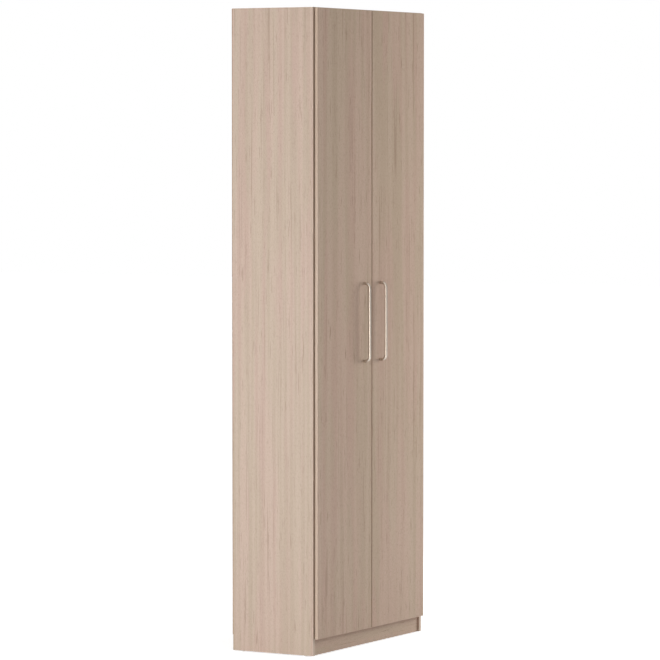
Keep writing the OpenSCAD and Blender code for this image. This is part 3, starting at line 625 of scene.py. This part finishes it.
# %% [markdown]
# Each handle is a steel rod bent twice. It could be an extruded circle, turned by hand through the
# bends. A curve with rounded corners and a round profile says the same more simply: the tree
# fillets a path of four points, sweeps a circle along it, and closes the ends. It also stores how
# far along and where around the rod each point lies, and the brushed lines of the finish follow
# those.

# %% The tree of a bent rod
BEND_STEPS = 14
RING_POINTS = 32
handle_tree, given = tree_with("bow_handle", {
    "Bend radius": "Float", "Rod radius": "Float", "Finish": "Material"})
path = add(handle_tree, "GeometryNodeMeshToCurve", {"Mesh": given["Geometry"]})
path = add(handle_tree, "GeometryNodeFilletCurve", {
    "Curve": path.outputs[0], "Count": BEND_STEPS, "Radius": given["Bend radius"]}, mode="POLY")
spline = add(handle_tree, "GeometryNodeSplineParameter")
path = add(handle_tree, "GeometryNodeStoreNamedAttribute", {
    "Geometry": path.outputs[0], "Name": "rod_length", "Value": spline.outputs["Length"]},
    data_type="FLOAT", domain="POINT")
ring = add(handle_tree, "GeometryNodeCurvePrimitiveCircle", {
    "Resolution": RING_POINTS, "Radius": given["Rod radius"]})
ring_place = add(handle_tree, "GeometryNodeInputPosition")
ring = add(handle_tree, "GeometryNodeStoreNamedAttribute", {
    "Geometry": ring.outputs[0], "Name": "rod_ring", "Value": ring_place.outputs[0]},
    data_type="FLOAT_VECTOR", domain="POINT")
rod = add(handle_tree, "GeometryNodeCurveToMesh", {
    "Curve": path.outputs[0], "Profile Curve": ring.outputs[0], "Fill Caps": True})
length_at = add(handle_tree, "GeometryNodeInputNamedAttribute", {"Name": "rod_length"},
                data_type="FLOAT")
ring_at = add(handle_tree, "GeometryNodeInputNamedAttribute", {"Name": "rod_ring"},
              data_type="FLOAT_VECTOR")
ring_xyz = add(handle_tree, "ShaderNodeSeparateXYZ", {0: ring_at.outputs[0]})
rod_place = add(handle_tree, "ShaderNodeCombineXYZ", {
    "X": ring_xyz.outputs["X"], "Y": ring_xyz.outputs["Y"], "Z": length_at.outputs[0]})
rod = add(handle_tree, "GeometryNodeStoreNamedAttribute", {
    "Geometry": rod.outputs[0], "Name": "rod", "Value": rod_place.outputs[0]},
    data_type="FLOAT_VECTOR", domain="POINT")
smooth_rod = soften(handle_tree, rod.outputs[0], sharpest=50)
rod = add(handle_tree, "GeometryNodeRealizeInstances", {0: smooth_rod})
rod = add(handle_tree, "GeometryNodeSetMaterial", {
    "Geometry": rod.outputs[0], "Material": given["Finish"]})
add(handle_tree, "NodeGroupOutput", {"Geometry": rod.outputs[0]})
print("bent rod:", len(handle_tree.nodes), "nodes")

# %% [markdown]
# The path of each handle could be typed in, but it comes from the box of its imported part, so the
# swept rod lies where the plain one was. It stands for that one and rides on its door.

# %% Bow handles
ROD_RADIUS = 0.005
BEND_RADIUS = 0.019
for side in ("left", "right"):
    low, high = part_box("handle_" + side)
    x = (low.x + high.x) / 2
    grip_y, face_y = low.y + ROD_RADIUS, high.y
    foot_z, head_z = low.z + ROD_RADIUS, high.z - ROD_RADIUS
    line = [(x, face_y, foot_z), (x, grip_y, foot_z), (x, grip_y, head_z), (x, face_y, head_z)]
    bow = grown("bow_handle_" + side, path_mesh("handle_path", [line]), handle_tree, {
        "Bend radius": BEND_RADIUS, "Rod radius": ROD_RADIUS, "Finish": handle_steel})
    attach(bow, "door_" + side)
    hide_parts("handle_" + side)
    print("handle", side, "legs are", round((head_z - foot_z) * 1000, 1), "mm apart")

# %% [markdown]
# The places of the screws could be typed in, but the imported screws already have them. A packed
# part holds all its screws in one mesh of loose triangles. Merged at their corners, these fall
# into islands, one for each screw, and an island's box gives the screw's place and length.

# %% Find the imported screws
def solids_of(node_name):
    """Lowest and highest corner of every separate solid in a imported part."""
    shell = bmesh.new()
    shell.from_mesh(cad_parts[node_name].data)
    bmesh.ops.remove_doubles(shell, verts=shell.verts, dist=1e-6)
    left, boxes = set(shell.verts), []
    for start in shell.verts:
        if start not in left:
            continue
        left.discard(start)
        island, edge = [start], [start]
        while edge:
            near = {e.other_vert(v) for v in edge for e in v.link_edges} & left
            left -= near
            edge = list(near)
            island += edge
        boxes.append([Vector(f(v.co[i] for v in island) for i in range(3)) for f in (min, max)])
    shell.free()
    return sorted(boxes, key=lambda box: [round(v, 5) for v in box[0]])


print("screws in the hinge plates:", len(solids_of("plate_screws")))

# %% [markdown]
# The screws of the hinges, handles, rail and wall angles have a domed head with a cross recess. A
# turned profile would give the dome, but turning can't make a cross. So the tree takes the upper
# half of a ball, cuts two slots into it, squashes it to the head's size and puts a shank below.
# It sets a copy on every point that it is given, turned along the point's own axis.

# %% The tree of a cross-head screw
# What is cut from a ball of radius 1, as a block's size and the height of its middle: the lower
# half, and two slots. One slot is a hair deeper than the other, because two floors at one level
# leave the mesh open.
HEAD_CUTS = (((3, 3, 2), -1), ((1.15, 0.24, 0.9), 0.85), ((0.24, 1.15, 0.94), 0.85))
screw_tree, given = tree_with("cross_head_screws", {
    "Head radius": "Float", "Head height": "Float", "Shank radius": "Float",
    "Shank length": "Float", "Finish": "Material"})
ball = add(screw_tree, "GeometryNodeMeshUVSphere", {"Segments": 24, "Rings": 12, "Radius": 1.0})
head = add(screw_tree, "GeometryNodeMeshBoolean", {0: ball.outputs[0]}, operation="DIFFERENCE")
for size, middle in HEAD_CUTS:
    cut = add(screw_tree, "GeometryNodeMeshCube", {"Size": size})
    cut = add(screw_tree, "GeometryNodeTransform", {
        "Geometry": cut.outputs[0], "Translation": (0, 0, middle)})
    screw_tree.links.new(cut.outputs[0], head.inputs[1])
head_size = add(screw_tree, "ShaderNodeCombineXYZ", {
    "X": given["Head radius"], "Y": given["Head radius"], "Z": given["Head height"]})
head = add(screw_tree, "GeometryNodeTransform", {
    "Geometry": head.outputs[0], "Scale": head_size.outputs[0]})
shank = add(screw_tree, "GeometryNodeMeshCylinder", {
    "Vertices": 16, "Radius": given["Shank radius"], "Depth": given["Shank length"]})
half = add(screw_tree, "ShaderNodeMath", {0: given["Shank length"], 1: -0.5}, operation="MULTIPLY")
below = add(screw_tree, "ShaderNodeCombineXYZ", {"Z": half.outputs[0]})
shank = add(screw_tree, "GeometryNodeTransform", {
    "Geometry": shank.outputs[0], "Translation": below.outputs[0]})
screw = add(screw_tree, "GeometryNodeJoinGeometry")
for piece in (head, shank):
    screw_tree.links.new(piece.outputs[0], screw.inputs[0])
axis = add(screw_tree, "GeometryNodeInputNamedAttribute", {"Name": "axis"}, data_type="FLOAT_VECTOR")
turned = add(screw_tree, "FunctionNodeAlignRotationToVector", {"Vector": axis.outputs[0]}, axis="Z")
placed = add(screw_tree, "GeometryNodeInstanceOnPoints", {
    "Points": given["Geometry"], "Instance": screw.outputs[0], "Rotation": turned.outputs[0]})
placed = add(screw_tree, "GeometryNodeRealizeInstances", {0: placed.outputs[0]})
smooth_screws = soften(screw_tree, placed.outputs[0], sharpest=35)
placed = add(screw_tree, "GeometryNodeSetMaterial", {
    "Geometry": smooth_screws, "Material": given["Finish"]})
add(screw_tree, "NodeGroupOutput", {"Geometry": placed.outputs[0]})
print("cross-head screw:", len(screw_tree.nodes), "nodes")

# %% [markdown]
# Now the screws are set. They could be placed one by one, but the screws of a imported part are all
# alike, so a table gives their sizes and one run of the tree makes them all. A screw's seat lies
# one head's height inside the end of its box, and its axis is stored on the point.

# %% Cross-head screws
# Body, head's direction (None: towards the middle of the wardrobe), radius and height of the
# head, and radius of the shank, in mm
SCREWS = {
    "plate_screws": ("carcass", None, 4.5, 2.2, 2.5),
    "arm_screws": ("carcass", None, 3.8, 2.0, 2.0),
    "bracket_screws": ("carcass", (0, 0, -1), 3.6, 2.0, 1.75),
    "rail_screws": ("carcass", (0, 0, -1), 3.6, 2.0, 1.75),
    "cup_screws_left": ("door_left", (0, 1, 0), 3.4, 1.3, 1.7),
    "cup_screws_right": ("door_right", (0, 1, 0), 3.4, 1.3, 1.7),
    "handle_screws_left": ("door_left", (0, 1, 0), 3.8, 2.0, 2.0),
    "handle_screws_right": ("door_right", (0, 1, 0), 3.8, 2.0, 2.0),
}
for node_name, (body, direction, head_r, head_h, shank_r) in SCREWS.items():
    seats, axes = [], []
    for low, high in solids_of(node_name):
        centre = (low + high) / 2
        out = Vector(direction) if direction else Vector((-math.copysign(1, centre.x), 0, 0))
        half_length = abs(out.dot(high - low)) / 2
        seats.append(tuple(centre + out * (half_length - head_h / 1000)))
        axes += list(out)
    points = path_mesh("screw_seats", [[seat] for seat in seats])
    points.attributes.new("axis", "FLOAT_VECTOR", "POINT").data.foreach_set("vector", axes)
    screws = grown("cross_head_" + node_name, points, screw_tree, {
        "Head radius": head_r / 1000, "Head height": head_h / 1000, "Shank radius": shank_r / 1000,
        "Shank length": 2 * half_length - head_h / 1000, "Finish": zinc})
    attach(screws, body)
    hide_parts(node_name)

# %% [markdown]
# The back sheets are nailed to the rear edges of the boards, about every 100 mm. Single nails could
# be set by hand, but they follow a rule: the tree turns the nail lines into curves, spaces points
# along them, shifts each by up to 2 mm across and 2 mm up or down, as a hand would, and sets a
# small domed head on each.

# %% The tree of a row of nails
nail_tree, given = tree_with("back_nails", {
    "Spacing": "Float", "Head radius": "Float", "Head height": "Float", "Jitter": "Float",
    "Seed": "Int", "Finish": "Material"})
lines = add(nail_tree, "GeometryNodeMeshToCurve", {"Mesh": given["Geometry"]})
spots = add(nail_tree, "GeometryNodeResampleCurve", {
    "Curve": lines.outputs[0], "Length": given["Spacing"]}, mode="LENGTH")
spots = add(nail_tree, "GeometryNodeCurveToPoints", {"Curve": spots.outputs[0]}, mode="EVALUATED")
drift_most = add(nail_tree, "ShaderNodeCombineXYZ", {"X": given["Jitter"], "Z": given["Jitter"]})
drift_least = add(nail_tree, "ShaderNodeVectorMath", {0: drift_most.outputs[0], "Scale": -1.0},
                  operation="SCALE")
drift = add(nail_tree, "FunctionNodeRandomValue", {
    0: drift_least.outputs[0], 1: drift_most.outputs[0], "Seed": given["Seed"]},
    data_type="FLOAT_VECTOR")
spots = add(nail_tree, "GeometryNodeSetPosition", {
    "Geometry": spots.outputs[0], "Offset": drift.outputs[0]})
dome = add(nail_tree, "GeometryNodeMeshUVSphere", {"Segments": 12, "Rings": 6, "Radius": 1.0})
dome_size = add(nail_tree, "ShaderNodeCombineXYZ", {
    "X": given["Head radius"], "Y": given["Head radius"], "Z": given["Head height"]})
dome = add(nail_tree, "GeometryNodeTransform", {
    "Geometry": dome.outputs[0], "Scale": dome_size.outputs[0]})
nails = add(nail_tree, "GeometryNodeInstanceOnPoints", {
    "Points": spots.outputs[0], "Instance": dome.outputs[0],
    "Rotation": (math.radians(-90), 0, 0)})
nails = add(nail_tree, "GeometryNodeRealizeInstances", {0: nails.outputs[0]})
nails = add(nail_tree, "GeometryNodeSetShadeSmooth", {"Geometry": nails.outputs[0]})
nails = add(nail_tree, "GeometryNodeSetMaterial", {
    "Geometry": nails.outputs[0], "Material": given["Finish"]})
add(nail_tree, "NodeGroupOutput", {"Geometry": nails.outputs[0]})
print("row of nails:", len(nail_tree.nodes), "nodes")

# %% [markdown]
# The upper sheet is nailed to both sides, the top and the hat shelf, and the lower one to both
# sides and the bottom. The lines could be typed in, but they are drawn over the middles of those
# boards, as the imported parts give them, and keep clear of the strip between the sheets. The heads
# stand out less than the lips of that strip, so the wardrobe is no deeper for them.

# %% Nails of the back sheets
CLEAR_OF_STRIP = 0.02
CLEAR_OF_SIDE = 0.06
sheet_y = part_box("back_lower")[1].y
side_x = (side_low.x + side_high.x) / 2
board_z = {name: sum(corner.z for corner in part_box(name)) / 2
           for name in ("top_panel", "bottom_panel", "hat_shelf")}
strip_low, strip_high = (corner.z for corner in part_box("back_joiner"))


def round_the_edge(start_z, end_z):
    """Along one side, across at end_z, and back along the other side."""
    return [(side_x, sheet_y, start_z), (side_x, sheet_y, end_z),
            (-side_x, sheet_y, end_z), (-side_x, sheet_y, start_z)]


nail_lines = [
    round_the_edge(strip_high + CLEAR_OF_STRIP, board_z["top_panel"]),
    round_the_edge(strip_low - CLEAR_OF_STRIP, board_z["bottom_panel"]),
    [(side_x + CLEAR_OF_SIDE, sheet_y, board_z["hat_shelf"]),
     (-side_x - CLEAR_OF_SIDE, sheet_y, board_z["hat_shelf"])],
]
nails = grown("back_nails", path_mesh("nail_lines", nail_lines), nail_tree, {
    "Spacing": 0.1, "Head radius": 0.0024, "Head height": 0.0007, "Jitter": 0.002, "Seed": 7,
    "Finish": zinc})
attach(nails, "carcass")

# %% [markdown]
# The picture's background is plain white. A studio would light a paper sweep until it burns out,
# but that much light also floods the object. Here the floor is a matt white sheet that adds a
# little light of its own, for the camera, in reflections and through clear parts, so that it burns
# out to white except in the shadow.

# %% Floor
WHITE = (1, 1, 1, 1)
FLOOR_REACH = 30
FLOOR_PAINT = (0.78, 0.78, 0.78, 1)
FLOOR_GLOW = 0.67
floor_mesh = bpy.data.meshes.new("floor")
floor_mesh.from_pydata(
    [(-FLOOR_REACH, -FLOOR_REACH, 0), (FLOOR_REACH, -FLOOR_REACH, 0),
     (FLOOR_REACH, FLOOR_REACH, 0), (-FLOOR_REACH, FLOOR_REACH, 0)], [], [(0, 1, 2, 3)])
floor = bpy.data.objects.new("floor", floor_mesh)
bpy.context.scene.collection.objects.link(floor)
floor_paint = bpy.data.materials.new("matt_white_floor")
floor_paint.use_nodes = True
tree = floor_paint.node_tree
tree.nodes.remove(tree.nodes["Principled BSDF"])
rays = add(tree, "ShaderNodeLightPath").outputs
seen = add(tree, "ShaderNodeMath", {0: rays["Is Camera Ray"], 1: rays["Is Glossy Ray"]},
           operation="MAXIMUM")
seen = add(tree, "ShaderNodeMath", {0: seen.outputs[0], 1: rays["Is Transmission Ray"]},
           operation="MAXIMUM")
glow_strength = add(tree, "ShaderNodeMath", {0: seen.outputs[0], 1: FLOOR_GLOW}, operation="MULTIPLY")
glow = add(tree, "ShaderNodeEmission", {"Color": WHITE, "Strength": glow_strength.outputs[0]})
matt = add(tree, "ShaderNodeBsdfDiffuse", {"Color": FLOOR_PAINT})
both = add(tree, "ShaderNodeAddShader", {0: matt.outputs[0], 1: glow.outputs[0]})
tree.links.new(both.outputs[0], tree.nodes["Material Output"].inputs["Surface"])
floor_mesh.materials.append(floor_paint)
print("floor:", 2 * FLOOR_REACH, "m wide")

# %% [markdown]
# The world is white to the camera, and gives the boards a plain soft level of light. An image of a
# real studio could surround them, but its parts couldn't be set one by one. Here reflections see a
# dim studio under a pale ceiling, less bright around the wardrobe and white overhead, which keeps
# the sides of the handles dark and lets their upper bends shine.

# %% World
AMBIENT = 0.475
MIRRORED = 0.45
# How steeply a reflection looks up, from 0 for level to 1, where the ceiling starts and where it
# is white
CEILING_START = 0.3
CEILING_WHITE = 0.8
world = bpy.data.worlds.new("white_studio")
bpy.context.scene.world = world
world.use_nodes = True
tree = world.node_tree
tree.nodes.clear()
rays = add(tree, "ShaderNodeLightPath").outputs
seen = add(tree, "ShaderNodeMath", {0: rays["Is Camera Ray"], 1: rays["Is Transmission Ray"]},
           operation="MAXIMUM")
lit = add(tree, "ShaderNodeBackground", {"Color": WHITE, "Strength": AMBIENT})
direction = add(tree, "ShaderNodeTexCoord").outputs["Generated"]
height = add(tree, "ShaderNodeSeparateXYZ", {0: direction}).outputs["Z"]
mirrored_level = add(tree, "ShaderNodeMapRange", {
    "Value": height, "From Min": CEILING_START, "From Max": CEILING_WHITE,
    "To Min": MIRRORED, "To Max": 1.0})
mirrored = add(tree, "ShaderNodeBackground", {"Color": WHITE, "Strength": mirrored_level.outputs[0]})
shown = add(tree, "ShaderNodeBackground", {"Color": WHITE, "Strength": 1.0})
sky = add(tree, "ShaderNodeMixShader", {
    0: rays["Is Glossy Ray"], 1: lit.outputs[0], 2: mirrored.outputs[0]})
sky = add(tree, "ShaderNodeMixShader", {0: seen.outputs[0], 1: sky.outputs[0], 2: shown.outputs[0]})
add(tree, "ShaderNodeOutputWorld", {"Surface": sky.outputs[0]})
bpy.context.scene.view_settings.view_transform = "Standard"
print("world light for the object:", AMBIENT)

# %% [markdown]
# One large lamp could light it all, but the brightness of the side and of the doors couldn't be
# set apart. So a soft lamp as wide as a window stands to the left, behind the plane of the doors,
# and lights the side panel and the outer edge of the left door. A weaker one stands in front and
# to the right. It makes the right door a little lighter than the left one and lays the handles'
# soft shadows to the left. Its mirror image would veil the grain, so reflections leave it out. The
# third is a narrow card that lights no matt surface. It shows in reflections alone, where it draws
# the bright line along the handles.

# %% Lamps
# Place, what it points at, size in metres, power in watts, colour, rays that don't see it
LAMPS = {
    "left_window": ((-5.6, 0.85, 0.7), (-0.4, 0.0, 0.8), (1.1, 1.4), 199, "#eff6ff", None),
    "right_softbox": ((3.1, -1.54, 1.4), (0.0, -0.16, 1.15), (1.15, 1.5), 78, "#ffffff", "glossy"),
    "left_card": ((-2.96, -0.8, 1.3), (-0.06, -0.18, 1.15), (0.7, 3.0), 44, "#fffcf8", "diffuse"),
}
for name, (at, towards, size, power, colour, hidden_from) in LAMPS.items():
    lamp_data = bpy.data.lights.new(name, "AREA")
    lamp_data.shape = "RECTANGLE"
    lamp_data.size, lamp_data.size_y = size
    lamp_data.energy = power
    lamp_data.color = linear(colour)[:3]
    lamp = bpy.data.objects.new(name, lamp_data)
    lamp.location = at
    lamp.rotation_euler = (Vector(towards) - Vector(at)).to_track_quat("-Z", "Y").to_euler()
    lamp.visible_glossy = hidden_from != "glossy"
    lamp.visible_diffuse = hidden_from != "diffuse"
    bpy.context.scene.collection.objects.link(lamp)
    print(name, "stands", round((Vector(towards) - Vector(at)).length, 2), "m away")
